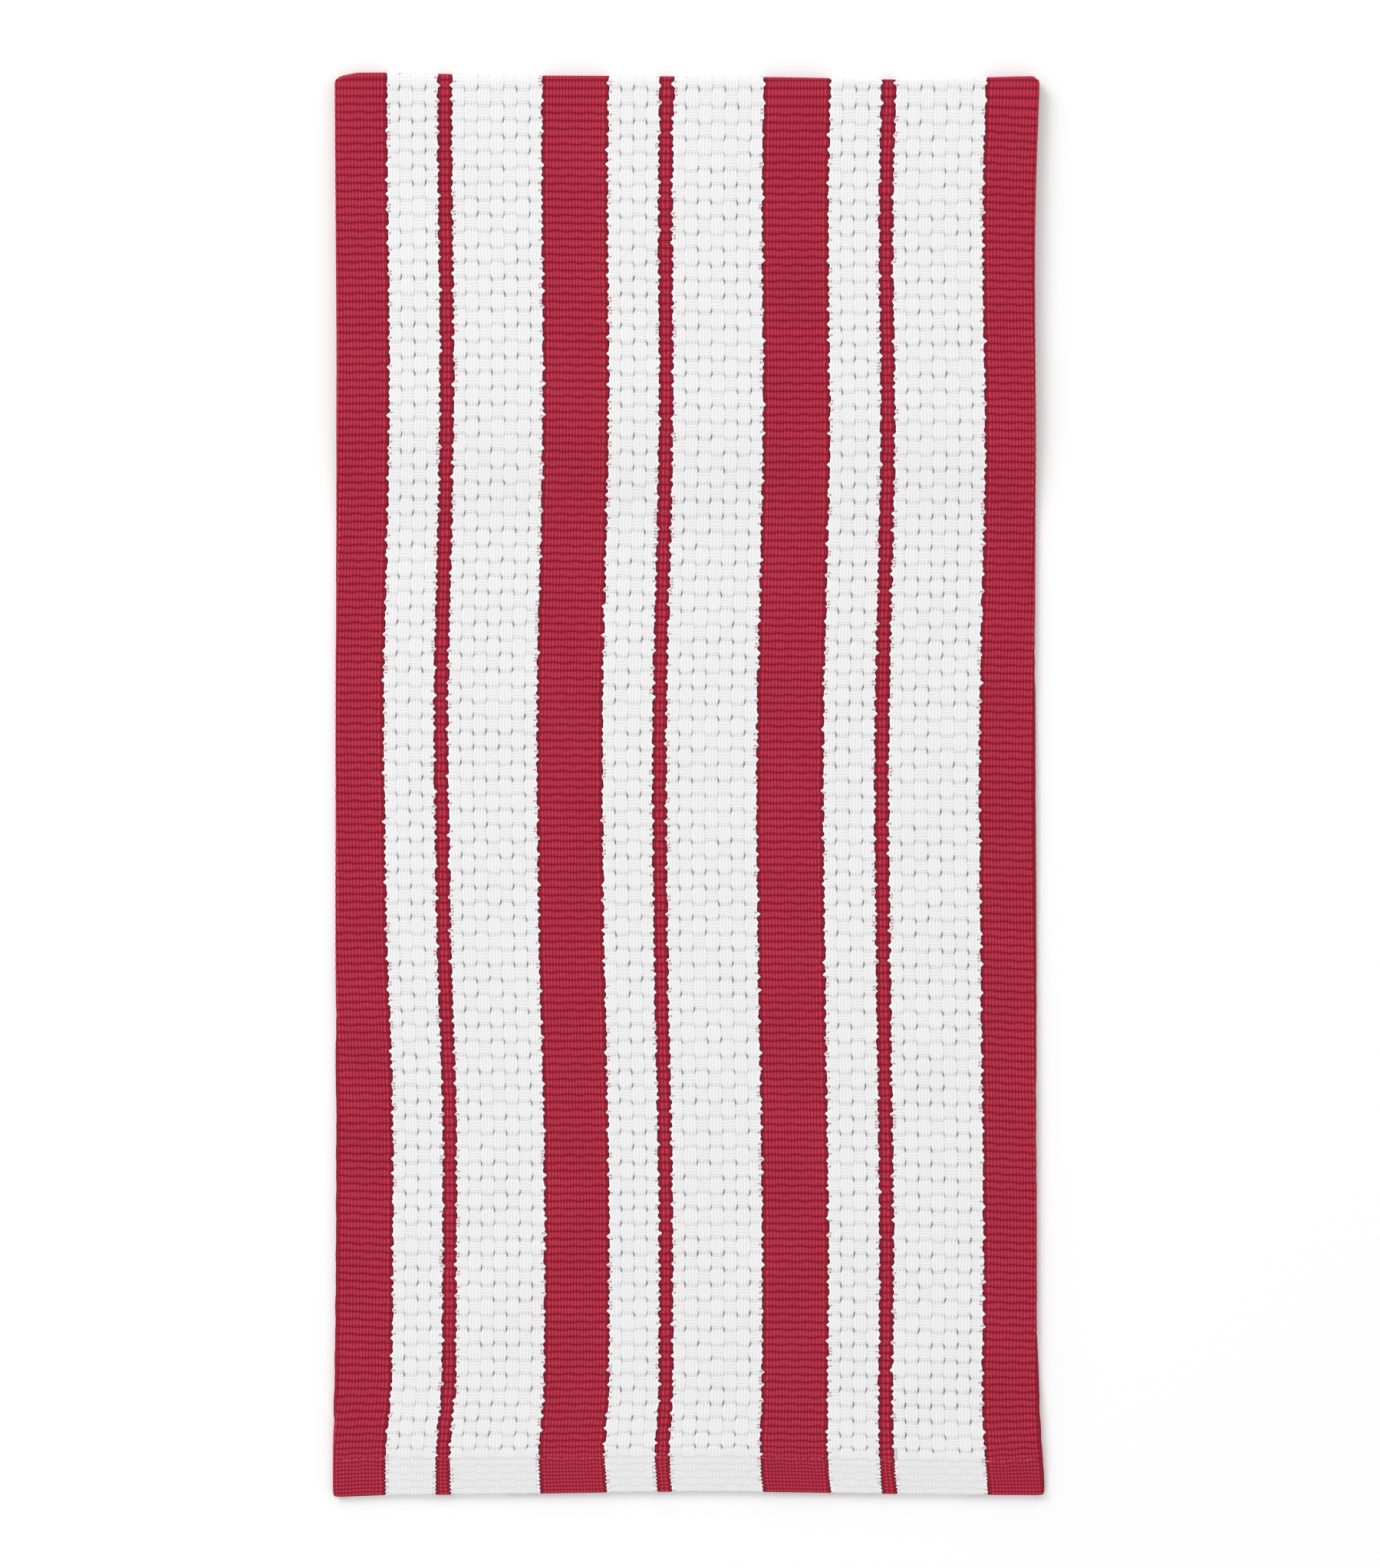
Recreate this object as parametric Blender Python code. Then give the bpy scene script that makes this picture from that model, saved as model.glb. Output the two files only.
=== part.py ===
"""Folded cotton towel in woven stripes: one solid for each colour group of warp yarns.

The cloth is thought of flat, as (u, v, w): u is across it from its middle, v is along it from
the bottom edge, and w stands out of its face.  lay_down() puts such a point where the folds
take it: the two sides are turned behind first, and then the top is turned behind them.
"""
import math

import bmesh
import bpy
from mathutils import Vector

MM = 0.001

# The cloth, flat and hemmed
CLOTH_WIDTH = 406.4 * MM
CLOTH_LENGTH = 609.6 * MM
CLOTH_THICKNESS = 1.2 * MM

# Woven stripes, in blocks of the weave, from the left selvedge; the group repeats
WIDE_RED_BLOCKS = 5
NARROW_WHITE_BLOCKS = 4
THIN_RED_BLOCKS = 1
WIDE_WHITE_BLOCKS = 7
REPEATS = 5

# Folds
SIDE_TURNED_BEHIND = 81.6 * MM
TOP_TURNED_BEHIND = 116.3 * MM
LAYER_GAP = 0.3 * MM
SLOPE_LENGTH = 14.0 * MM
SLOPE_CLEARANCE = 1.0 * MM

# Hems
HEM_DEPTH = 13.0 * MM
THREAD_THICKNESS = 0.4 * MM

# Clearances between neighbouring solids, and how finely bends are cut
SEAM_CLEARANCE = 0.3 * MM
THREAD_CLEARANCE = 0.3 * MM
SIDE_BEND_CUTS = 8
TOP_BEND_CUTS = 12
SLOPE_CUTS = 6

# Worked out from the sizes above
LAYER_PITCH = CLOTH_THICKNESS + LAYER_GAP
SIDE_BEND_RADIUS = LAYER_PITCH / 2
SIDE_ARC = math.pi * SIDE_BEND_RADIUS
SIDE_FLAT = CLOTH_WIDTH / 2 - SIDE_TURNED_BEHIND - SIDE_ARC / 2
TOP_BEND_RADIUS = 1.5 * LAYER_PITCH
TOP_ARC = math.pi * TOP_BEND_RADIUS
TOP_FLAT = CLOTH_LENGTH - TOP_TURNED_BEHIND - TOP_ARC / 2
FLAP_LENGTH = CLOTH_LENGTH - TOP_FLAT - TOP_ARC
STACK_HALF_HEIGHT = 2 * LAYER_PITCH - LAYER_GAP / 2
FOLDED_LENGTH = TOP_FLAT + STACK_HALF_HEIGHT
AXIS = Vector((0.0, FOLDED_LENGTH / 2 - STACK_HALF_HEIGHT, STACK_HALF_HEIGHT))
SLOPE_TOP = TOP_FLAT - FLAP_LENGTH - SLOPE_CLEARANCE
SLOPE_DROP = 2 * LAYER_PITCH
HEM_CLOTH_THICKNESS = (CLOTH_THICKNESS - LAYER_GAP) / 2
THREAD_START = HEM_DEPTH + THREAD_CLEARANCE
HEM_ROOM = THREAD_START + THREAD_THICKNESS + THREAD_CLEARANCE
FACE = CLOTH_THICKNESS / 2

RED = (0.397, 0.027, 0.054)
WHITE = (0.82, 0.82, 0.82)
THREAD_RED = (0.46, 0.05, 0.08)


def lay_across(u, w):
    """A point across the cloth as x and its height over the middle of its two layers."""
    past = abs(u) - SIDE_FLAT
    side = math.copysign(1.0, u)
    radius = SIDE_BEND_RADIUS + w
    if past <= 0.0:
        return u, radius
    if past >= SIDE_ARC:
        return side * (SIDE_FLAT - past + SIDE_ARC), -radius
    angle = past / SIDE_BEND_RADIUS
    return side * (SIDE_FLAT + radius * math.sin(angle)), radius * math.cos(angle)


def slope_down(v):
    """How far the cloth has come down from the four-layer top to the two layers below it."""
    share = min(max((SLOPE_TOP - v) / SLOPE_LENGTH, 0.0), 1.0)
    return SLOPE_DROP * share * share * (3.0 - 2.0 * share)


def lay_down(u, v, w):
    """A point of the flat cloth where the side folds and then the top fold put it."""
    x, height = lay_across(u, w)
    radius = LAYER_PITCH + height
    past = v - TOP_FLAT
    if past <= 0.0:
        return AXIS + Vector((x, past, radius - slope_down(v)))
    if past >= TOP_ARC:
        return AXIS + Vector((x, TOP_ARC - past, -radius))
    angle = past / TOP_BEND_RADIUS
    return AXIS + Vector((x, radius * math.sin(angle), radius * math.cos(angle)))


def side_bend_lines():
    """Where the cloth is cut across so that it can bend round the two side folds."""
    steps = [SIDE_FLAT + SIDE_ARC * step / SIDE_BEND_CUTS for step in range(SIDE_BEND_CUTS + 1)]
    return [-step for step in steps] + steps


def slope_lines():
    """Where the cloth is cut so that it can come down the slope below the turned top."""
    return [SLOPE_TOP - SLOPE_LENGTH * step / SLOPE_CUTS for step in range(SLOPE_CUTS + 1)]


def top_bend_lines():
    """Where the cloth is cut so that it can bend round the top fold."""
    return [TOP_FLAT + TOP_ARC * step / TOP_BEND_CUTS for step in range(1, TOP_BEND_CUTS)]


def hem_step_lines():
    """Where the cloth goes from its thin hem to its full thickness, at either end."""
    room = (HEM_ROOM, HEM_ROOM + THREAD_CLEARANCE)
    return list(room) + [CLOTH_LENGTH - edge for edge in room]


def band_back(v):
    """The back surface of a stripe, which is recessed where the hem is turned under it."""
    from_edge = min(v, CLOTH_LENGTH - v)
    share = (from_edge - HEM_ROOM) / THREAD_CLEARANCE
    recess = 1.0 - min(max(share, 0.0), 1.0)
    return -FACE + recess * (CLOTH_THICKNESS - HEM_CLOTH_THICKNESS)


def cotton(name, colour):
    """The dyed cotton of one sub-part."""
    material = bpy.data.materials.new(name)
    material.use_nodes = True
    shader = material.node_tree.nodes["Principled BSDF"]
    shader.inputs["Base Color"].default_value = (*colour, 1.0)
    shader.inputs["Roughness"].default_value = 0.9
    shader.inputs["Metallic"].default_value = 0.0
    material.diffuse_color = (*colour, 1.0)
    return material


def cut_cloth(name, across, along, through, colour, body):
    """One solid of cloth, boxed flat, cut wherever it has to bend, and laid down.

    across and along are its ends in u and v; through gives its back and face in w at a v.
    """
    shape = bmesh.new()
    bmesh.ops.create_cube(shape, size=1.0)
    for vertex in shape.verts:
        vertex.co.x = across[0] if vertex.co.x < 0.0 else across[1]
        vertex.co.y = along[0] if vertex.co.y < 0.0 else along[1]
    cuts = [(u, 0) for u in side_bend_lines() if across[0] < u < across[1]]
    lines = slope_lines() + top_bend_lines() + hem_step_lines()
    cuts += [(v, 1) for v in lines if along[0] < v < along[1]]
    for place, axis in cuts:
        point = Vector((0.0, 0.0, 0.0))
        point[axis] = place
        normal = Vector((1.0, 0.0, 0.0)) if axis == 0 else Vector((0.0, 1.0, 0.0))
        whole = shape.verts[:] + shape.edges[:] + shape.faces[:]
        bmesh.ops.bisect_plane(shape, geom=whole, plane_co=point, plane_no=normal, dist=1e-7)
    for vertex in shape.verts:
        u, v, w = vertex.co
        back, face = through(v)
        vertex.co = lay_down(u, v, face if w > 0.0 else back) - body.location
    mesh = bpy.data.meshes.new(name)
    shape.to_mesh(mesh)
    shape.free()
    mesh.materials.append(cotton(name, colour))
    piece = bpy.data.objects.new(name, mesh)
    piece.parent = body
    towel.objects.link(piece)
    return piece


def stripes():
    """Each woven stripe as its name, its colour and its number of blocks, from the left."""
    groups = (
        ("wide_red", RED, WIDE_RED_BLOCKS),
        ("narrow_white", WHITE, NARROW_WHITE_BLOCKS),
        ("thin_red", RED, THIN_RED_BLOCKS),
        ("wide_white", WHITE, WIDE_WHITE_BLOCKS),
    )
    rows = []
    for turn in range(1, REPEATS + 1):
        rows += [(f"{kind}_{turn}", colour, blocks) for kind, colour, blocks in groups]
    rows.append((f"wide_red_{REPEATS + 1}", RED, WIDE_RED_BLOCKS))
    return rows


def weave_stripes(front, flap):
    """Every stripe as one solid below the top fold and one behind it."""
    rows = stripes()
    block = CLOTH_WIDTH / sum(blocks for name, colour, blocks in rows)
    gap = SEAM_CLEARANCE / 2
    start = -CLOTH_WIDTH / 2
    for name, colour, blocks in rows:
        end = start + blocks * block
        across = (start + gap, end - gap)
        below = (0.0, TOP_FLAT - gap)
        behind = (TOP_FLAT + TOP_ARC + gap, CLOTH_LENGTH)
        cut_cloth(f"{name}_front", across, below, lambda v: (band_back(v), FACE), colour, front)
        cut_cloth(f"{name}_flap", across, behind, lambda v: (band_back(v), FACE), colour, flap)
        start = end


def fold_crease(front):
    """The strip of cloth, all the stripes wide, that bends round the top fold."""
    gap = SEAM_CLEARANCE / 2
    across = (-CLOTH_WIDTH / 2 + gap, CLOTH_WIDTH / 2 - gap)
    along = (TOP_FLAT + gap, TOP_FLAT + TOP_ARC - gap)
    cut_cloth("top_fold_crease", across, along, lambda v: (-FACE, FACE), WHITE, front)


def sew_hems(front, flap):
    """The turned layer and the sewing thread of the hem at each end of the cloth."""
    gap = SEAM_CLEARANCE / 2
    across = (-CLOTH_WIDTH / 2 + gap, CLOTH_WIDTH / 2 - gap)
    turned = (-FACE, -FACE + HEM_CLOTH_THICKNESS)
    thread = (-FACE, -FACE + THREAD_THICKNESS)
    sewn = (THREAD_START, THREAD_START + THREAD_THICKNESS)
    cut_cloth("bottom_hem_turn", across, (0.0, HEM_DEPTH), lambda v: turned, WHITE, front)
    cut_cloth("bottom_hem_thread", across, sewn, lambda v: thread, THREAD_RED, front)
    top_hem = (CLOTH_LENGTH - HEM_DEPTH, CLOTH_LENGTH)
    top_sewn = (CLOTH_LENGTH - sewn[1], CLOTH_LENGTH - sewn[0])
    cut_cloth("top_hem_turn", across, top_hem, lambda v: turned, WHITE, flap)
    cut_cloth("top_hem_thread", across, top_sewn, lambda v: thread, THREAD_RED, flap)


def empty_at(name, place):
    """An empty that carries the pieces of one body."""
    empty = bpy.data.objects.new(name, None)
    empty.empty_display_size = 20 * MM
    empty.location = place
    towel.objects.link(empty)
    return empty


for old in list(bpy.data.objects):
    bpy.data.objects.remove(old, do_unlink=True)

towel = bpy.data.collections.new("striped_towel")
bpy.context.scene.collection.children.link(towel)

front_body = empty_at("front", Vector((0.0, 0.0, 0.0)))
flap_body = empty_at("top_fold_axis", AXIS)
weave_stripes(front_body, flap_body)
fold_crease(front_body)
sew_hems(front_body, flap_body)
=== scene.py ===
import math

import bmesh
import bpy
import numpy as np
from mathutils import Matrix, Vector


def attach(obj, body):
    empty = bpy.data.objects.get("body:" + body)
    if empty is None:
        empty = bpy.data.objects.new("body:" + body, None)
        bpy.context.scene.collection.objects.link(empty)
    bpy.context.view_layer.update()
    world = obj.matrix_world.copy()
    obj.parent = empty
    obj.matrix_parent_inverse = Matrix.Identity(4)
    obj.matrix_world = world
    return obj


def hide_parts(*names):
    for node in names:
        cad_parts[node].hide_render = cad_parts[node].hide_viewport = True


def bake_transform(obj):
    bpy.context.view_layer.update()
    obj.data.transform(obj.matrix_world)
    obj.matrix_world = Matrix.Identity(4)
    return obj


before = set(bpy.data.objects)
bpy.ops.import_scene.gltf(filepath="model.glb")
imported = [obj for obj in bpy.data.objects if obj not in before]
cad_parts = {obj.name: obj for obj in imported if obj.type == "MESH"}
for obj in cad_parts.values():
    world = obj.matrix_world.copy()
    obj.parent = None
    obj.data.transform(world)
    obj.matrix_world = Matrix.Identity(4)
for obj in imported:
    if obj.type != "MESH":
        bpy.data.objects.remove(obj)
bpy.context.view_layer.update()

# ---- Camera, lamp and table ----------------------------------------------------------
# The towel lies face up on a white table.  The camera hangs straight above it on a long
# lens.  An even white surround and one large soft lamp light it.
MM = 0.001
camera = bpy.data.objects.new("overhead_camera", bpy.data.cameras.new("overhead_camera"))
bpy.context.scene.collection.objects.link(camera)
bpy.context.scene.camera = camera
camera.data.lens = 85.0
camera.data.sensor_width = 36.0
view_height = 543.9 * MM
face_height = 4.0 * MM
camera_height = view_height / 2 * camera.data.lens / (camera.data.sensor_width / 2)
camera.location = (1.3 * MM, 0.3 * MM, face_height + camera_height)
bpy.context.scene.view_settings.view_transform = "Standard"

surround = bpy.data.worlds.new("white_surround")
bpy.context.scene.world = surround
surround.use_nodes = True
around_light = surround.node_tree.nodes["Background"]
around_light.inputs["Color"].default_value = (1.0, 1.0, 1.0, 1.0)
around_light.inputs["Strength"].default_value = 0.85

lamp = bpy.data.objects.new("soft_lamp", bpy.data.lights.new("soft_lamp", "AREA"))
bpy.context.scene.collection.objects.link(lamp)
lamp.data.shape = "RECTANGLE"
lamp_side = 1.9
lamp.data.size = lamp_side
lamp.data.size_y = lamp_side
lamp.data.energy = 60.0
lamp.location = (-2.1, 2.1, 2.2)
to_towel = Vector((0.0, 0.0, 0.0)) - lamp.location
lamp.rotation_euler = to_towel.to_track_quat("-Z", "Y").to_euler()

table_reach = 3.0
table_drop = 0.1 * MM
table_mesh = bpy.data.meshes.new("table_top")
table_shape = bmesh.new()
bmesh.ops.create_grid(table_shape, x_segments=4, y_segments=4, size=table_reach)
bmesh.ops.translate(table_shape, verts=table_shape.verts, vec=(0.0, 0.0, -table_drop))
table_shape.to_mesh(table_mesh)
table_shape.free()
table = bpy.data.objects.new("table_top", table_mesh)
bpy.context.scene.collection.objects.link(table)
table_paint = bpy.data.materials.new("white_table")
table_paint.use_nodes = True
table_finish = table_paint.node_tree.nodes["Principled BSDF"]
table_finish.inputs["Base Color"].default_value = (0.94, 0.94, 0.94, 1.0)
table_finish.inputs["Roughness"].default_value = 0.8
table_mesh.materials.append(table_paint)

# ---- Cloth: how the folded towel lies ------------------------------------------------
# One cotton cloth of 90 blocks across.  Its sides are turned behind first, then the top is
# turned behind both.  u runs across the open cloth, v up from the bottom hem, w out of it.
BLOCKS = 90
CLOTH_WIDTH = 406.4
CLOTH_LENGTH = 609.6
HALF_THICKNESS = 0.6
BLOCK = CLOTH_WIDTH / BLOCKS
MIDDLE = CLOTH_WIDTH / 2.0
SIDE_FLAT = 120.42
SIDE_BEND = 0.75
SIDE_ARC = math.pi * SIDE_BEND
TOP_FLAT = 489.766
LAYER_PITCH = 1.5
TOP_BEND = 2.25
TOP_ARC = math.pi * TOP_BEND
AXIS_Y = 243.458
AXIS_Z = 2.85
HALF_WIDTH = 121.77
HALF_LENGTH = 246.308
STEP_TOP = 376.0
STEP_LENGTH = 46.0
STEP_DROP = 3.0


def ease(value, low, high):
    share = np.clip((value - low) / (high - low), 0.0, 1.0)
    return share * share * (3.0 - 2.0 * share)


def hill(value, middle, reach):
    return np.exp(-((value - middle) / reach) ** 2)


def wander(u, v):
    """How far the yarns stray from straight, across and along the cloth."""
    left = 0.6 * hill(v, 395.0, 55.0) - 1.2 * hill(v, 272.0, 55.0)
    left = left + 2.15 * ease(v, 12.0, 42.0) * (1.0 - ease(v, 122.0, 205.0))
    middle = -0.3 + 0.35 * hill(v, 390.0, 50.0) - 2.05 * hill(v, 250.0, 80.0)
    middle = middle - 0.7 * hill(v, 165.0, 50.0) - 1.9 * hill(v, 12.0, 18.0)
    right = -0.5 + 0.9 * hill(v, 368.0, 55.0) - 1.2 * hill(v, 245.0, 60.0)
    right = right - 0.55 * hill(v, 160.0, 50.0) - 1.5 * hill(v, 24.0, 32.0)
    to_left = np.clip(-u / 104.0, 0.0, 1.0)
    to_right = np.clip(u / 104.0, 0.0, 1.0)
    across = left * to_left + right * to_right + middle * (1.0 - to_left - to_right)
    at_right = ease(u, 98.0, 124.0)
    at_left = ease(-u, 98.0, 124.0)
    droop = 0.3 + 0.8 * hill(v, 485.0, 45.0) + 0.6 * hill(v, 150.0, 70.0)
    along = -0.0055 * (u + SIDE_FLAT) - at_right * droop
    along = along + at_right * 1.5 * hill(v, 15.0, 20.0)
    along = along + at_left * (0.7 * hill(v, 75.0, 30.0) - 0.5 * hill(v, 180.0, 35.0))
    along = along + 0.35 * np.sin(u / 31.0 + 0.6) * np.sin(v / 83.0)
    ripple_u = np.sin(0.83 * u + 2.1 * np.sin(0.11 * v))
    ripple_v = np.sin(0.61 * v + 1.7 * np.sin(0.13 * u))
    along = along + 0.2 * ripple_u * ripple_v
    ripple_u = np.sin(0.71 * u + 1.3 * np.sin(0.17 * v))
    ripple_v = np.sin(0.53 * v + 2.0 * np.sin(0.09 * u))
    across = across + 0.12 * ripple_u * ripple_v
    held = 1.0 - ease(v, 479.0, 488.0)
    at_hem = ease(v, 0.0, 14.0)
    return across, along * held * at_hem


def lie(u, v, w):
    """Place a point of the cloth on the folded towel, in metres."""
    across, along = wander(u, v)
    u = u + across
    inside = np.clip(v, 0.001, CLOTH_LENGTH)
    v = inside + along
    side = np.sign(u)
    past = np.abs(u) - SIDE_FLAT
    radius = SIDE_BEND + w
    angle = np.clip(past / SIDE_BEND, 0.0, math.pi)
    x = np.where(past <= 0.0, u, side * (SIDE_FLAT + radius * np.sin(angle)))
    x = np.where(past >= SIDE_ARC, side * (SIDE_FLAT - past + SIDE_ARC), x)
    height = radius * np.cos(angle)
    drop = STEP_DROP * ease(-v, -STEP_TOP, -STEP_TOP + STEP_LENGTH)
    past = v - TOP_FLAT
    radius = LAYER_PITCH + height
    angle = np.clip(past / TOP_BEND, 0.0, math.pi)
    y = np.where(past <= 0.0, past, radius * np.sin(angle))
    y = np.where(past >= TOP_ARC, TOP_ARC - past, y)
    z = radius * np.cos(angle) - np.where(past <= 0.0, drop, 0.0)
    y = y + AXIS_Y
    z = z + AXIS_Z
    return settle(x, y, z)


def settle(x, y, z):
    """The outline: a slight waist, wavy ends and rounded corners."""
    left = -0.25 + 0.55 * hill(y, 140.0, 70.0) - 0.9 * hill(y, -246.0, 60.0)
    right = 0.25 - 0.6 * hill(y, 60.0, 110.0) - 0.8 * hill(y, 180.0, 55.0)
    right = right + 2.8 * hill(y, -254.0, 40.0) + 0.9 * hill(y, 250.0, 30.0)
    share = np.clip((x + HALF_WIDTH) / (2.0 * HALF_WIDTH), 0.0, 1.0)
    corner = 3.2
    past_x = np.abs(x) - (HALF_WIDTH - corner)
    past_y = np.abs(y) - (HALF_LENGTH - corner)
    inside = (past_x <= 0.0) | (past_y <= 0.0)
    longest = np.maximum(past_x, past_y)
    pull = np.where(inside, 1.0, longest / np.maximum(np.hypot(past_x, past_y), 1e-6))
    pull = 1.0 + (pull - 1.0) * np.where(y > 0.0, np.where(x > 0.0, 1.0, 0.6), 0.25)
    x = np.where(inside, x, np.sign(x) * (HALF_WIDTH - corner + past_x * pull))
    y_round = np.sign(y) * (HALF_LENGTH - corner + past_y * pull)
    y = np.where(inside, y, y_round)
    top = 0.9 * hill(x, -108.0, 32.0) - 1.1 * hill(x, 75.0, 32.0) - 0.3 * hill(x, 20.0, 40.0)
    top = top - 1.2 * np.clip((-114.0 - x) / 7.5, 0.0, 1.0)
    bottom = -0.5 + 1.3 * hill(x, 5.0, 65.0) - 0.6 * hill(x, -121.0, 7.0)
    y = y + top * np.clip((y - AXIS_Y) / TOP_BEND, 0.0, 1.3) + bottom * ease(-y, 190.0, 240.0)
    x = x + left * (1.0 - share) + right * share
    return np.stack([x, y, z], axis=-1) * MM


# ---- Stripes: the woven bands --------------------------------------------------------
# Dyed warp yarns, four to a block.  In the white stripes they float over and under in a
# basket weave; in the red ones they lie close as ribs, two to a row of blocks.
YARNS = 4.0
PICKS = 5.0
FLOAT_LEAD = 0.08
FLOAT_LENGTH = 1.16
BEHIND = SIDE_FLAT + 3.0
ROW_PLACES = np.array([0.0, 12.3, 14.0, 16.0, 18.5, 21.0, 24.0, 100.0, 250.0, 400.0, 490.0, 612.0])
ROW_PITCHES = np.array([2.6, 2.6, 3.4, 4.0, 4.7, 5.0, 5.2, 5.27, 5.37, 5.45, 5.48, 5.4])
fine_places = np.linspace(0.0, 612.0, 12241)
fine_steps = 1.0 / np.interp(fine_places, ROW_PLACES, ROW_PITCHES)
fine_rows = np.concatenate([[0.0], np.cumsum((fine_steps[1:] + fine_steps[:-1]) / 2.0 * 0.05)])


def chance(index, seed):
    """A steady random number from 0 to 1 for each whole number."""
    value = np.sin(index * 12.9898 + seed * 78.233) * 43758.5453
    return value - np.floor(value)


def teeth(row, seed):
    """How far the white weft reaches into the red at this row, in mm."""
    lean = 0.2 * (chance(np.floor(row + 0.25), seed + 3.0) - 0.5)
    deep = np.maximum(0.0, np.cos(2.0 * math.pi * (row - 0.25 - lean))) ** 3.0
    half = np.maximum(0.0, np.cos(2.0 * math.pi * (row - 0.75 + lean))) ** 3.0
    deep = deep * (0.55 + 0.8 * chance(np.floor(row - 0.75), seed))
    half = half * (0.1 + 0.9 * chance(np.floor(row - 0.25), seed + 9.0))
    half = half + 0.4 * (chance(np.floor(PICKS * row + 0.5), seed + 21.0) - 0.5)
    plain = ease(row, 4.0, 5.5)
    hem = 0.35 * np.cos(4.0 * math.pi * row) * (0.3 + chance(np.floor(2.0 * row + 0.5), seed + 4.0)) - 0.3
    return (-0.5 + 1.0 * deep + 0.75 * half) * plain + hem * (1.0 - plain)


def red_weave(block, row, plain, ridged):
    """How proud the red cloth stands, from 0 in the gaps to 1 on the ribs."""
    rib = 2.0 * row - np.floor(2.0 * row)
    crown = np.sin(math.pi * rib) ** 0.4
    lean = YARNS * block + 0.12 * (rib - 0.5)
    yarn = lean - np.floor(lean)
    ridge = np.where(ridged, 4.0 * yarn * (1.0 - yarn), 0.8)
    proud = (0.3 + 0.7 * crown) * (0.55 + 0.45 * ridge)
    fine = 0.25 + 0.75 * crown * (0.45 + 0.55 * ridge)
    return proud * (1.0 - plain) + fine * plain, np.ones_like(row)


def white_weave(block, row, plain, ridged):
    """The same for the white cloth, and whether the warp lies on top."""
    column = np.floor(block)
    across = block - column
    phase = (row + column + FLOAT_LEAD) % 2.0
    on_top = phase < FLOAT_LENGTH
    along = np.clip(phase / FLOAT_LENGTH, 0.0, 1.0)
    yarn = YARNS * block - np.floor(YARNS * block)
    ridge = np.where(ridged, 4.0 * yarn * (1.0 - yarn), 0.8)
    end = np.abs(2.0 * along - 1.0) ** 6.0
    warp = (1.0 - 0.15 * end) * (0.84 - 0.4 * end + (0.16 + 0.4 * end) * ridge)
    pick = PICKS * row - np.floor(PICKS * row + 1e-6)
    pick_ridge = np.where(ridged, 4.0 * pick * (1.0 - pick), 0.7)
    weft = (0.87 + 0.1 * (1.0 - np.abs(2.0 * across - 1.0) ** 4.0)) * (0.82 + 0.18 * pick_ridge)
    proud = np.where(on_top, warp, weft)
    from_side = np.minimum(across, 1.0 - across)
    from_end = np.minimum(np.abs(phase - FLOAT_LENGTH), np.minimum(phase, 2.0 - phase))
    # The slits at float ends are dips in the cloth; through proud they are also painted dark as shade.
    slit = np.exp(-((from_side / 0.1) ** 2) - (from_end / 0.18) ** 2)
    corner = chance(np.rint(block) * 7.0 + np.floor(row + 0.35) * 131.0, 5.0)
    proud = proud * (1.0 - np.clip(0.15 + 1.2 * corner, 0.0, 1.0) * slit)
    over = np.cos(8.0 * math.pi * block)
    under = np.cos(4.0 * math.pi * row)
    checker = 0.86 + 0.34 * over * under * np.where(ridged, 1.0, 0.0)
    return proud * (1.0 - plain) + checker * plain, np.where(on_top, 1.0, 0.0)


def around_strip(first, last, fine):
    """Block places round a strip: over its face, back underneath, and home again."""
    positions = []
    for block in range(first, last):
        middle = abs((block + 0.5) * BLOCK - MIDDLE)
        count = fine if middle < BEHIND else min(fine, 4)
        positions.extend(block + np.arange(count) / count)
    face = np.array(positions + [float(last)])
    open_gap = 43.0
    side_fold = SIDE_FLAT - 6.0
    inner = []
    for block in range(last, first, -1):
        middle = abs((block - 0.5) * BLOCK - MIDDLE)
        if middle < open_gap:
            inner.extend([block, block - 0.5])
        elif middle > side_fold or (last - block) % 2 == 0:
            inner.append(block)
    inner = np.array(inner + [float(first)])
    block = np.concatenate([face, inner, face[:1]])
    outside = np.concatenate([np.ones(len(face), bool), np.zeros(len(inner), bool), np.ones(1, bool)])
    return block, outside


def rows_between(start, end, rows_per_block):
    """Row places from one height to another, closer together round the end of a hem."""
    row_start = np.interp(start, fine_places, fine_rows)
    row_end = np.interp(end, fine_places, fine_rows)
    first_step = math.ceil(row_start * rows_per_block + 0.2)
    steps = np.arange(first_step, row_end * rows_per_block - 0.2) / rows_per_block
    row = np.concatenate([[row_start], steps, [row_end]])
    round_end = np.array([0.05, 0.12, 0.22])
    if start == 0.0:
        row = np.concatenate([[row_start], round_end, row[row > 0.25]])
    if end == CLOTH_LENGTH:
        row = np.concatenate([row[row < row_end - 0.25], row_end - round_end[::-1], [row_end]])
    return row


def flat_strip(name, columns, lines):
    """A flat grid, with the column and the line of each of its corners."""
    shape = bmesh.new()
    bmesh.ops.create_grid(shape, x_segments=columns, y_segments=lines, size=1.0)
    mesh = bpy.data.meshes.new(name)
    shape.to_mesh(mesh)
    shape.free()
    flat = np.empty(len(mesh.vertices) * 3)
    mesh.vertices.foreach_get("co", flat)
    flat = flat.reshape(-1, 3)
    column = np.rint((flat[:, 0] + 1.0) / 2.0 * columns).astype(int)
    line = np.rint((flat[:, 1] + 1.0) / 2.0 * lines).astype(int)
    return mesh, column, line


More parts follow.
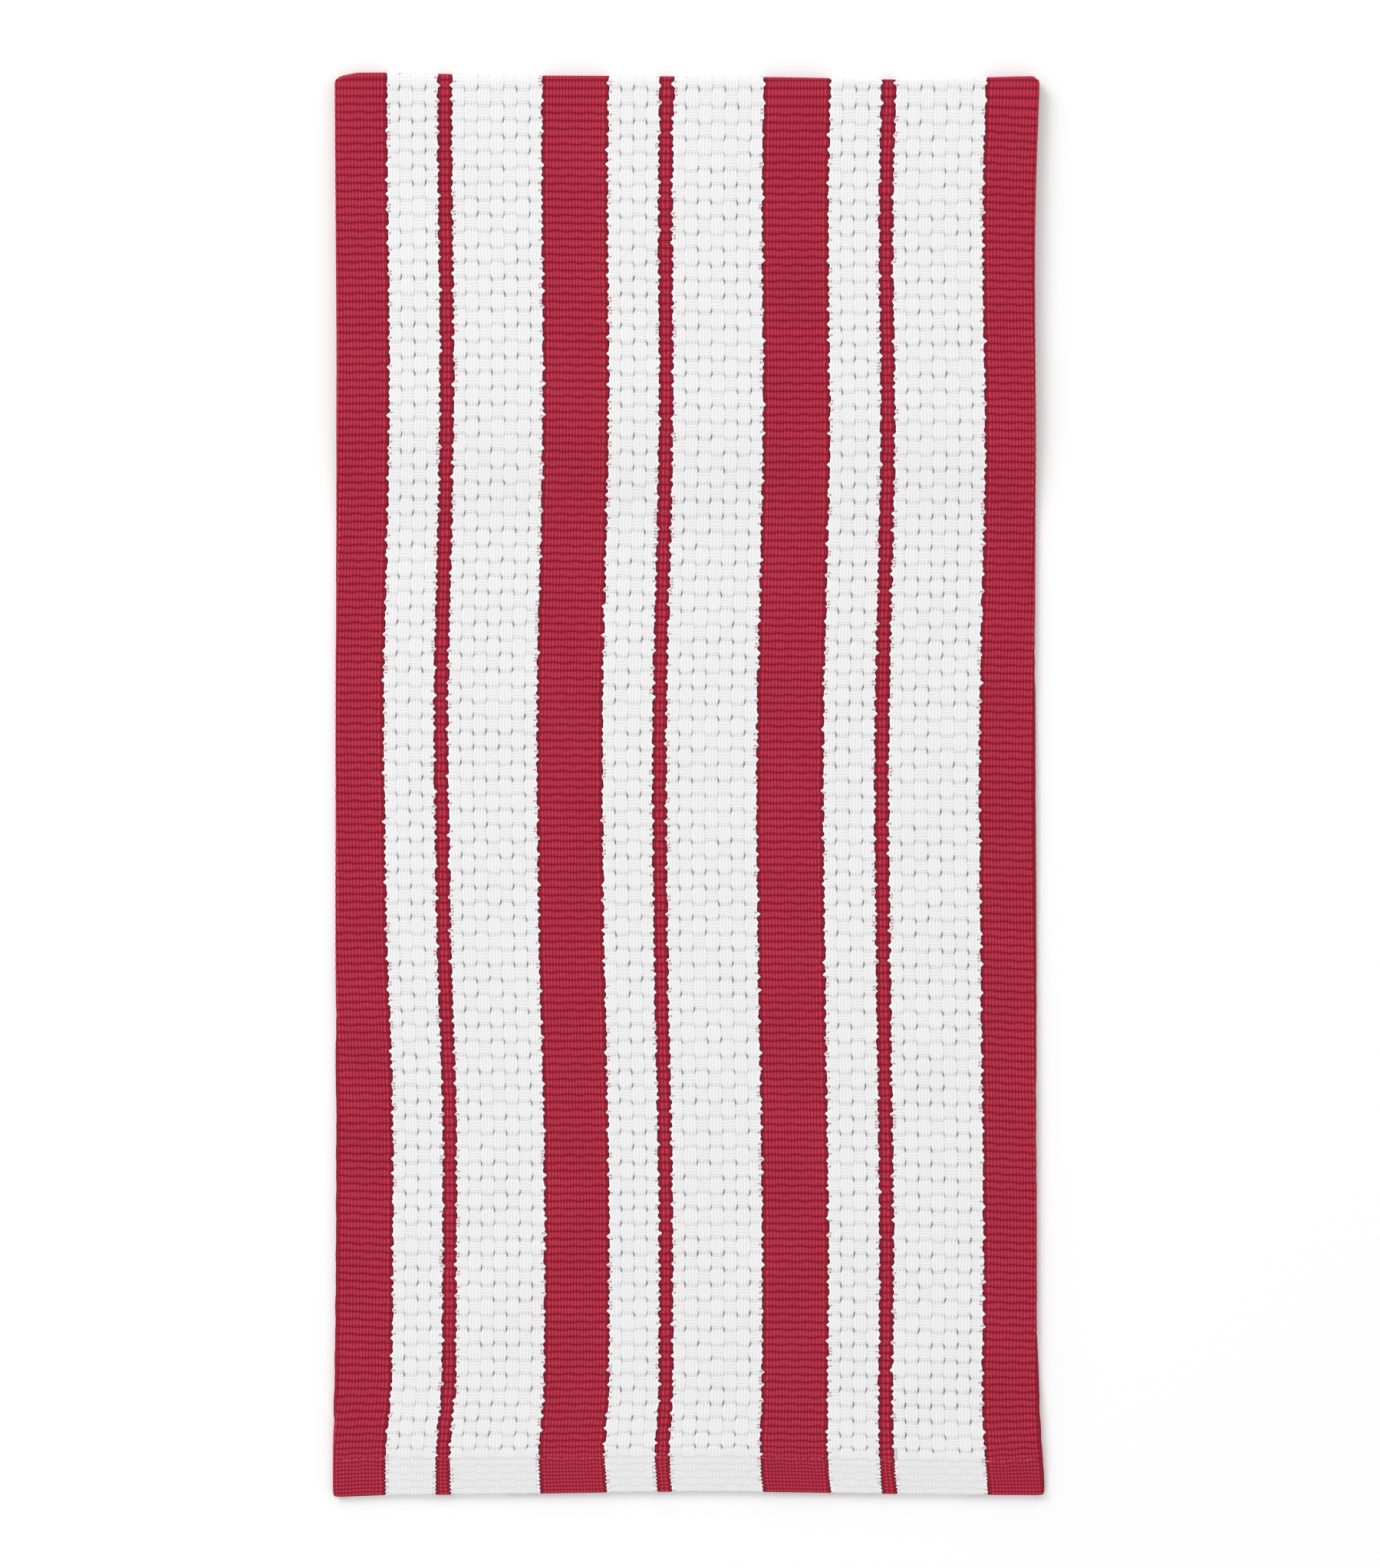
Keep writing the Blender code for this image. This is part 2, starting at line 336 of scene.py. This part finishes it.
def add_maps(mesh, block, row, column, line):
    """The weave's own map, and one with the strip laid out in lengths in a square."""
    corners = np.empty(len(mesh.loops), np.int32)
    mesh.loops.foreach_get("vertex_index", corners)
    weave_map = mesh.uv_layers.new(name="weave")
    places = np.stack([block[column], row[line]], axis=-1)[corners]
    weave_map.uv.foreach_set("vector", places.astype(np.float32).ravel())

    margin = 0.4
    ring = np.concatenate([[0.0], np.cumsum(np.maximum(np.abs(np.diff(block)) * BLOCK, 0.6))])
    length = np.interp(row, fine_rows, fine_places)
    width = ring[-1] + 2.0 * margin
    tall = length[-1] - length[0]
    lengths = max(1, round(math.sqrt(tall / width)))
    cuts = np.linspace(0, len(row) - 1, lengths + 1).astype(int)
    size = max(width * lengths, max(length[cuts[1:]] - length[cuts[:-1]]) + 2.0 * margin)
    polygon_of_loop = np.arange(len(mesh.loops)) // 4
    lowest = line[corners].reshape(-1, 4).min(axis=1)[polygon_of_loop]
    strip = np.clip(np.searchsorted(cuts, lowest, side="right") - 1, 0, lengths - 1)
    across = (ring[column[corners]] + margin + strip * width) / size
    along = (length[line[corners]] - length[cuts[strip]] + margin) / size
    bake_map = mesh.uv_layers.new(name="OFBake")
    bake_map.uv.foreach_set("vector", np.stack([across, along], axis=-1).astype(np.float32).ravel())


def close_ring(mesh, column, line, smooth):
    """Weld a strip's first and last columns together and close its two ends."""
    shape = bmesh.new()
    shape.from_mesh(mesh)
    shape.verts.ensure_lookup_table()
    first_of = {}
    for index in np.nonzero(column == 0)[0]:
        first_of[int(line[index])] = shape.verts[int(index)]
    joined = {}
    for index in np.nonzero(column == column.max())[0]:
        joined[shape.verts[int(index)]] = first_of[int(line[index])]
    bmesh.ops.weld_verts(shape, targetmap=joined)
    open_edges = [edge for edge in shape.edges if edge.is_boundary]
    caps = bmesh.ops.holes_fill(shape, edges=open_edges, sides=0)["faces"]
    for layer in shape.loops.layers.uv.values():
        for cap in caps:
            for corner in cap.loops:
                other = [near_loop for near_loop in corner.vert.link_loops if near_loop.face not in caps]
                corner[layer].uv = other[0][layer].uv
    bmesh.ops.recalc_face_normals(shape, faces=shape.faces)
    if smooth:
        for polygon in shape.faces:
            polygon.smooth = len(polygon.verts) == 4
        for cap in caps:
            for edge in cap.edges:
                edge.smooth = False
    shape.to_mesh(mesh)
    shape.free()


def woven_band(name, kind, first, last, start, end, fine, rows_per_block, body, nodes):
    """One stripe of the cloth between two heights, as a closed double-sided strip."""
    red = "red" in kind
    block, outside = around_strip(first, last, fine)
    row = rows_between(start, end, rows_per_block)
    mesh, column, line = flat_strip(name, len(block) - 1, len(row) - 1)
    a = block[column]
    b = row[line]
    face_side = outside[column]
    v = np.interp(b, fine_rows, fine_places)
    from_end = np.minimum(v, CLOTH_LENGTH - v)
    plain = 1.0 - (ease(from_end, 12.0, 16.0) if red else ease(from_end, 13.0, 16.5))
    ridged = face_side & (np.abs(a * BLOCK - MIDDLE) <= BEHIND) & (fine >= 8)
    weave = red_weave if red else white_weave
    inset = np.clip(a, first + 1e-5, last - 1e-5)
    proud, on_top = weave(inset, b, plain, ridged)

    # The borders: the white weft reaches into the red, and the red laps over its root.
    left_gap = (a - first) * BLOCK
    right_gap = (last - a) * BLOCK
    half = BLOCK / 2.0
    u = a * BLOCK - MIDDLE
    sign = 1.0 if red else -1.0
    shift = np.zeros_like(u)
    lap = 0.22 if red else 0.0
    if first > 0:
        reach = sign * teeth(b, first) - lap
        shift = shift + reach * np.clip(1.0 - left_gap / half, 0.0, 1.0)
    if last < BLOCKS:
        reach = sign * teeth(b, last) - lap
        shift = shift - reach * np.clip(1.0 - right_gap / half, 0.0, 1.0)
    u = u + shift
    far = 9.0
    near = np.minimum(np.where(first > 0, left_gap, far), np.where(last < BLOCKS, right_gap, far))
    rim = np.exp(-((near / 0.62) ** 2))
    # Near a border the red sinks and is painted darker as shade; the white stands up and is painted paler
    # as a highlight.
    if red:
        proud = proud * (1.0 - 0.7 * rim)
    else:
        proud = np.maximum(proud, 0.75 * rim)

    # The relief: deep in the blocks, shallow in the hem, and thin where the end turns.
    depth = (0.22 if red else 0.34) * (1.0 - plain) + 0.24 * plain
    face_w = HALF_THICKNESS - depth * (1.0 - proud)
    back_w = -HALF_THICKNESS + 0.15 * (1.0 - proud)
    inner_w = np.where((from_end > 0.7) & (from_end < 13.5), 0.15, back_w)
    w = np.where(face_side, face_w, inner_w)
    rounding = np.sqrt(np.clip(1.0 - (1.0 - np.clip(from_end / 0.7, 0.0, 1.0)) ** 2, 0.03, 1.0))
    mesh.vertices.foreach_set("co", lie(u, v, w * rounding).ravel())

    # Specks of red where a weft yarn comes through near a border.
    pick_gap = np.floor(PICKS * b + 0.25)
    spotted = chance(pick_gap, first + 40.0 + 3.0 * (left_gap < right_gap)) > 0.72
    spotted = spotted & (near > 0.3) & (near < 1.3) & face_side & ridged & (PICKS * b % 1.0 < 0.3)
    # The proud and rim values also go to the colour: painted shade where the cloth sits low, and the
    # painted rim by the borders.
    values = {
        "inside": np.where(ridged, 0.0, 1.0),
        "spot": np.where(spotted, 1.0, 0.0) * (0.0 if red else 1.0),
        "proud": np.where(face_side, proud, 0.8),
        "warp_on_top": on_top,
        "rim": np.where(face_side, rim, 0.0),
    }
    for title, data in values.items():
        layer = mesh.attributes.new(title, "FLOAT", "POINT")
        layer.data.foreach_set("value", data.astype(np.float32))
    add_maps(mesh, block, row, column, line)
    close_ring(mesh, column, line, True)

    band = bpy.data.objects.new(name, mesh)
    bpy.context.scene.collection.objects.link(band)
    mesh.materials.append(red_cotton if red else white_cotton)
    if body == "crease":
        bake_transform(band)
    else:
        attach(band, body)
    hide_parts(*nodes)
    return band


def node(tree, kind, **values):
    made = tree.nodes.new(kind)
    for title, value in values.items():
        setattr(made, title, value)
    return made


def sum_node(tree, operation, first, second=0.0, third=None):
    made = node(tree, "ShaderNodeMath", operation=operation)
    for place, value in enumerate([first, second, third]):
        if value is None:
            continue
        if isinstance(value, (int, float)):
            made.inputs[place].default_value = float(value)
        else:
            tree.links.new(value, made.inputs[place])
    return made.outputs[0]


def shade(level):
    """A linear colour from the three 0-255 values of a swatch."""
    parts = [part / 255.0 for part in level]
    return [part / 12.92 if part <= 0.04045 else ((part + 0.055) / 1.055) ** 2.4 for part in parts] + [1.0]


def cotton(name, shade_to_lit_stops, edge, painted_rim_strength, lines):
    """Spun cotton with painted shade: pale where it stands proud, painted darker in the gaps, with a fine
    twist.
    """
    paint = bpy.data.materials.new(name)
    paint.use_nodes = True
    tree = paint.node_tree
    cloth = tree.nodes["Principled BSDF"]
    cloth.inputs["Roughness"].default_value = 0.92
    cloth.inputs["Specular IOR Level"].default_value = 0.15
    proud = node(tree, "ShaderNodeAttribute", attribute_name="proud").outputs["Fac"]
    rim = node(tree, "ShaderNodeAttribute", attribute_name="rim").outputs["Fac"]
    on_top = node(tree, "ShaderNodeAttribute", attribute_name="warp_on_top").outputs["Fac"]
    weave = node(tree, "ShaderNodeUVMap", uv_map="weave")
    split = node(tree, "ShaderNodeSeparateXYZ")
    tree.links.new(weave.outputs["UV"], split.inputs[0])
    block = split.outputs[0]
    row = split.outputs[1]
    warp_line = sum_node(tree, "COSINE", sum_node(tree, "MULTIPLY", block, 2.0 * math.pi * YARNS))
    weft_line = sum_node(tree, "COSINE", sum_node(tree, "MULTIPLY", row, 2.0 * math.pi * PICKS))
    if lines == "both":
        mixed = node(tree, "ShaderNodeMix", data_type="FLOAT")
        tree.links.new(on_top, mixed.inputs[0])
        tree.links.new(weft_line, mixed.inputs[2])
        tree.links.new(warp_line, mixed.inputs[3])
        line = mixed.outputs[0]
    else:
        line = warp_line
    twist_across = sum_node(tree, "MULTIPLY", block, 16.0 * math.pi)
    twist_along = sum_node(tree, "MULTIPLY", row, 24.0 * math.pi)
    twist = sum_node(tree, "SINE", sum_node(tree, "ADD", twist_across, twist_along))
    place = node(tree, "ShaderNodeTexCoord").outputs["Object"]
    fuzz = node(tree, "ShaderNodeTexNoise")
    fuzz.inputs["Scale"].default_value = 1400.0
    fuzz.inputs["Detail"].default_value = 3.0
    tree.links.new(place, fuzz.inputs["Vector"])
    slow = node(tree, "ShaderNodeTexNoise")
    slow.inputs["Scale"].default_value = 45.0
    tree.links.new(place, slow.inputs["Vector"])
    inside = node(tree, "ShaderNodeAttribute", attribute_name="inside").outputs["Fac"]
    gap = sum_node(tree, "MULTIPLY_ADD", warp_line, 0.5, 0.5)
    if lines == "both":
        phase = sum_node(tree, "ADD", row, sum_node(tree, "FLOOR", block))
        phase = sum_node(tree, "ADD", phase, FLOAT_LEAD)
        phase = sum_node(tree, "MODULO", phase, 2.0)
        from_weft = sum_node(tree, "ABSOLUTE", sum_node(tree, "SUBTRACT", phase, FLOAT_LENGTH))
        from_warp = sum_node(tree, "MINIMUM", phase, sum_node(tree, "SUBTRACT", 2.0, phase))
        from_end = sum_node(tree, "MINIMUM", from_weft, from_warp)
        painted_gap_shade = sum_node(tree, "SUBTRACT", 1.0, sum_node(tree, "MULTIPLY", from_end, 8.0))
        between_yarns = sum_node(tree, "MULTIPLY_ADD", gap, 0.8, 0.2)
        painted_gap_shade = sum_node(tree, "MULTIPLY", sum_node(tree, "MAXIMUM", painted_gap_shade, 0.0), between_yarns)
        strength = sum_node(tree, "MULTIPLY_ADD", inside, 0.05, 0.5)
    else:
        rib_line = sum_node(tree, "COSINE", sum_node(tree, "MULTIPLY", row, 4.0 * math.pi))
        painted_gap_shade = sum_node(tree, "POWER", sum_node(tree, "MULTIPLY_ADD", rib_line, 0.5, 0.5), 3.0)
        strength = sum_node(tree, "MULTIPLY", inside, 0.4)
    painted_gap_shade = sum_node(tree, "MULTIPLY", painted_gap_shade, strength)
    # Painted shade: the ramp darkens the colour where the cloth sits low, between yarns, at float ends and
    # in rib gaps.
    level = sum_node(tree, "MULTIPLY_ADD", line, -0.07, proud)
    level = sum_node(tree, "SUBTRACT", level, painted_gap_shade)
    level = sum_node(tree, "MULTIPLY_ADD", twist, 0.03, level)
    level = sum_node(tree, "ADD", level, sum_node(tree, "MULTIPLY_ADD", fuzz.outputs[0], 0.22, -0.11))
    level = sum_node(tree, "ADD", level, sum_node(tree, "MULTIPLY_ADD", slow.outputs[0], 0.12, -0.06))
    ramp = node(tree, "ShaderNodeValToRGB")
    for index, (stop, colour) in enumerate(shade_to_lit_stops):
        if index < 2:
            element = ramp.color_ramp.elements[index]
            element.position = stop
        else:
            element = ramp.color_ramp.elements.new(stop)
        element.color = shade(colour)
    tree.links.new(level, ramp.inputs[0])
    # Painted rim: a painted shadow on the red and a painted highlight on the white along the borders.
    painted_rim_mix = node(tree, "ShaderNodeMix", data_type="RGBA")
    tree.links.new(sum_node(tree, "MULTIPLY", rim, painted_rim_strength), painted_rim_mix.inputs[0])
    tree.links.new(ramp.outputs[0], painted_rim_mix.inputs[6])
    painted_rim_mix.inputs[7].default_value = shade(edge)
    spot = node(tree, "ShaderNodeAttribute", attribute_name="spot").outputs["Fac"]
    speck = node(tree, "ShaderNodeMix", data_type="RGBA")
    tree.links.new(sum_node(tree, "MULTIPLY", spot, 0.7), speck.inputs[0])
    tree.links.new(painted_rim_mix.outputs[2], speck.inputs[6])
    speck.inputs[7].default_value = shade((150, 30, 48))
    tree.links.new(speck.outputs[2], cloth.inputs["Base Color"])
    rise = sum_node(tree, "MULTIPLY_ADD", line, -0.5, sum_node(tree, "MULTIPLY", twist, 0.2))
    rise = sum_node(tree, "ADD", rise, sum_node(tree, "MULTIPLY", fuzz.outputs[0], 0.8))
    bump = node(tree, "ShaderNodeBump")
    bump.inputs["Strength"].default_value = 0.5
    bump.inputs["Distance"].default_value = 0.00008
    tree.links.new(rise, bump.inputs["Height"])
    tree.links.new(bump.outputs[0], cloth.inputs["Normal"])
    return paint


# Stops run from painted shade to lit yarn; edge is a painted shadow on the red rim and a painted highlight
# on the white rim.
red_cotton = cotton(
    "red_cotton",
    [(0.0, (88, 7, 24)), (1.0, (190, 57, 80)), (0.35, (136, 22, 43)), (0.7, (159, 34, 55))],
    (66, 3, 15),
    0.85,
    "warp",
)
white_cotton = cotton(
    "white_cotton",
    [(0.0, (104, 104, 104)), (1.0, (235, 235, 235)), (0.35, (194, 194, 194)), (0.7, (222, 222, 222))],
    (252, 252, 252),
    0.7,
    "both",
)

# ---- Stripes laid side by side -------------------------------------------------------
# From the left selvedge: wide red 5 blocks, narrow white 4, thin red 1, wide white 7, five
# times over, and a last wide red one.  Each is below, round and behind the top fold.
SEAM_ROOM = 0.15
before = TOP_FLAT - SEAM_ROOM
behind = TOP_FLAT + TOP_ARC + SEAM_ROOM
place = 0
bands = {}
for repeat in range(1, 7):
    for kind, blocks in (("wide_red", 5), ("narrow_white", 4), ("thin_red", 1), ("wide_white", 7)):
        if repeat == 6 and kind != "wide_red":
            continue
        title = f"{kind}_{repeat}"
        first = place
        last = place + blocks
        place = last
        seen = abs((first + last) / 2 * BLOCK - MIDDLE) < SIDE_FLAT + 6.0
        columns = 12 if seen else 3
        rows = 10 if seen else 6
        flap_columns = 8 if seen else 2
        flap_rows = 10 if seen and "white" in kind else 6
        front = woven_band(
            f"{title}_front_cloth", kind, first, last, 0.0, before, columns, rows,
            "front", [f"{title}_front"],
        )
        crease = woven_band(
            f"{title}_bend_cloth", kind, first, last, before, behind, columns, rows,
            "crease", ["top_fold_crease"],
        )
        flap = woven_band(
            f"{title}_flap_cloth", kind, first, last, behind, CLOTH_LENGTH, flap_columns, flap_rows,
            "top_flap", [f"{title}_flap"],
        )
        bands[title] = (front, crease, flap, blocks * BLOCK)

# The thin red stripes and the bends are narrow, but each stays a cloth of its own: this loop leaves every
# band as it is.
for title, (front, crease, flap, width) in bands.items():
    if "thin_red" in title:
        continue

# ---- Hems ----------------------------------------------------------------------------
# At each end the cloth is turned under once, in a fine plain weave, and held by one row of
# lockstitch in cotton thread: short stitches on the face and on the turned layer.
REPEAT = 17
HEM_TURN = 12.2
HEM_FOLD = 0.8
HEM_SEAM = 12.8
STITCHES = 138
STITCH_PITCH = 2.94


def two_colour_cotton(name, red, white):
    """The same cotton where one piece crosses the stripes."""
    paint = bpy.data.materials.new(name)
    paint.use_nodes = True
    tree = paint.node_tree
    cloth = tree.nodes["Principled BSDF"]
    cloth.inputs["Roughness"].default_value = 0.92
    cloth.inputs["Specular IOR Level"].default_value = 0.15
    in_red = node(tree, "ShaderNodeAttribute", attribute_name="in_red").outputs["Fac"]
    place = node(tree, "ShaderNodeTexCoord").outputs["Object"]
    fuzz = node(tree, "ShaderNodeTexNoise")
    fuzz.inputs["Scale"].default_value = 900.0
    tree.links.new(place, fuzz.inputs["Vector"])
    dyed = node(tree, "ShaderNodeMix", data_type="RGBA")
    tree.links.new(sum_node(tree, "GREATER_THAN", in_red, 0.5), dyed.inputs[0])
    dyed.inputs[6].default_value = shade(white)
    dyed.inputs[7].default_value = shade(red)
    value = node(tree, "ShaderNodeHueSaturation")
    tree.links.new(sum_node(tree, "MULTIPLY_ADD", fuzz.outputs[0], 0.3, 0.85), value.inputs["Value"])
    tree.links.new(dyed.outputs[2], value.inputs["Color"])
    tree.links.new(value.outputs[0], cloth.inputs["Base Color"])
    bump = node(tree, "ShaderNodeBump")
    bump.inputs["Strength"].default_value = 0.5
    bump.inputs["Distance"].default_value = 0.00008
    tree.links.new(fuzz.outputs[0], bump.inputs["Height"])
    tree.links.new(bump.outputs[0], cloth.inputs["Normal"])
    return paint


striped_cotton = two_colour_cotton("striped_cotton", (158, 35, 56), (224, 224, 224))
seam_cotton = two_colour_cotton("seam_cotton", (206, 82, 100), (228, 228, 228))


def turned_layer(name, from_v, body):
    """The layer turned behind, as a thin closed strip across the whole cloth."""
    inward = 1.0 if from_v < CLOTH_LENGTH / 2.0 else -1.0
    around = np.concatenate([np.linspace(0.0, HEM_TURN, 25), np.linspace(HEM_TURN, 0.0, 25), [0.0]])
    inner_side = np.concatenate([np.ones(25, bool), np.zeros(25, bool), np.ones(1, bool)])
    across = np.linspace(0.0, float(BLOCKS), 4 * BLOCKS + 1)
    mesh, ring, line = flat_strip(f"{name}_turned_cloth", len(around) - 1, len(across) - 1)
    a = across[line]
    v = from_v + inward * around[ring]
    grain = 0.03 * np.cos(8.0 * math.pi * a) * np.cos(2.0 * math.pi * around[ring] / 1.3)
    w = np.where(inner_side[ring], -0.12, -0.56 + grain)
    mesh.vertices.foreach_set("co", lie(a * BLOCK - MIDDLE, v, w).ravel())
    in_red = np.zeros(len(a))
    for start in range(0, BLOCKS, REPEAT):
        in_red = in_red + ((a >= start) & (a <= start + 5)) + ((a >= start + 9) & (a <= start + 10))
    layer = mesh.attributes.new("in_red", "FLOAT", "POINT")
    layer.data.foreach_set("value", np.clip(in_red, 0.0, 1.0).astype(np.float32))
    close_ring(mesh, ring, line, False)
    turn = bpy.data.objects.new(f"{name}_turned_cloth", mesh)
    bpy.context.scene.collection.objects.link(turn)
    mesh.materials.append(striped_cotton)
    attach(turn, body)
    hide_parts(f"{name}_turn")


def seam_stitches(name, seam_v, body):
    """One row of short stitches, on the face and, half a pitch along, on the back."""
    shape = bmesh.new()
    places = []
    for index in range(STITCHES):
        for side, offset in ((0.57, 0.0), (-0.6, STITCH_PITCH / 2.0)):
            made = bmesh.ops.create_uvsphere(shape, u_segments=6, v_segments=4, radius=1.0)["verts"]
            places.append((1.2 - MIDDLE + index * STITCH_PITCH + offset, side, len(made)))
    mesh = bpy.data.meshes.new(f"{name}_stitches")
    shape.to_mesh(mesh)
    shape.free()
    flat = np.empty(len(mesh.vertices) * 3)
    mesh.vertices.foreach_get("co", flat)
    flat = flat.reshape(-1, 3)
    counts = [corners for centre, side, corners in places]
    centre = np.repeat(np.array([centre for centre, side, corners in places]), counts)
    side = np.repeat(np.array([side for centre, side, corners in places]), counts)
    block = (centre + MIDDLE) / BLOCK % REPEAT
    in_red = ((block < 5.0) | ((block > 9.0) & (block < 10.0))).astype(np.float32)
    u = centre + flat[:, 2] * 1.3
    v = seam_v + flat[:, 0] * 0.26
    w = side * (0.94 + 0.12 * in_red) + flat[:, 1] * 0.13
    mesh.vertices.foreach_set("co", lie(u, v, w).ravel())
    layer = mesh.attributes.new("in_red", "FLOAT", "POINT")
    layer.data.foreach_set("value", in_red)
    mesh.polygons.foreach_set("use_smooth", np.ones(len(mesh.polygons), bool))
    mesh.update()
    stitches = bpy.data.objects.new(f"{name}_stitches", mesh)
    bpy.context.scene.collection.objects.link(stitches)
    mesh.materials.append(seam_cotton)
    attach(stitches, body)
    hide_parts(f"{name}_thread")


turned_layer("bottom_hem", HEM_FOLD, "front")
seam_stitches("bottom_hem", HEM_SEAM, "front")
turned_layer("top_hem", CLOTH_LENGTH - HEM_FOLD, "top_flap")
seam_stitches("top_hem", CLOTH_LENGTH - HEM_SEAM, "top_flap")
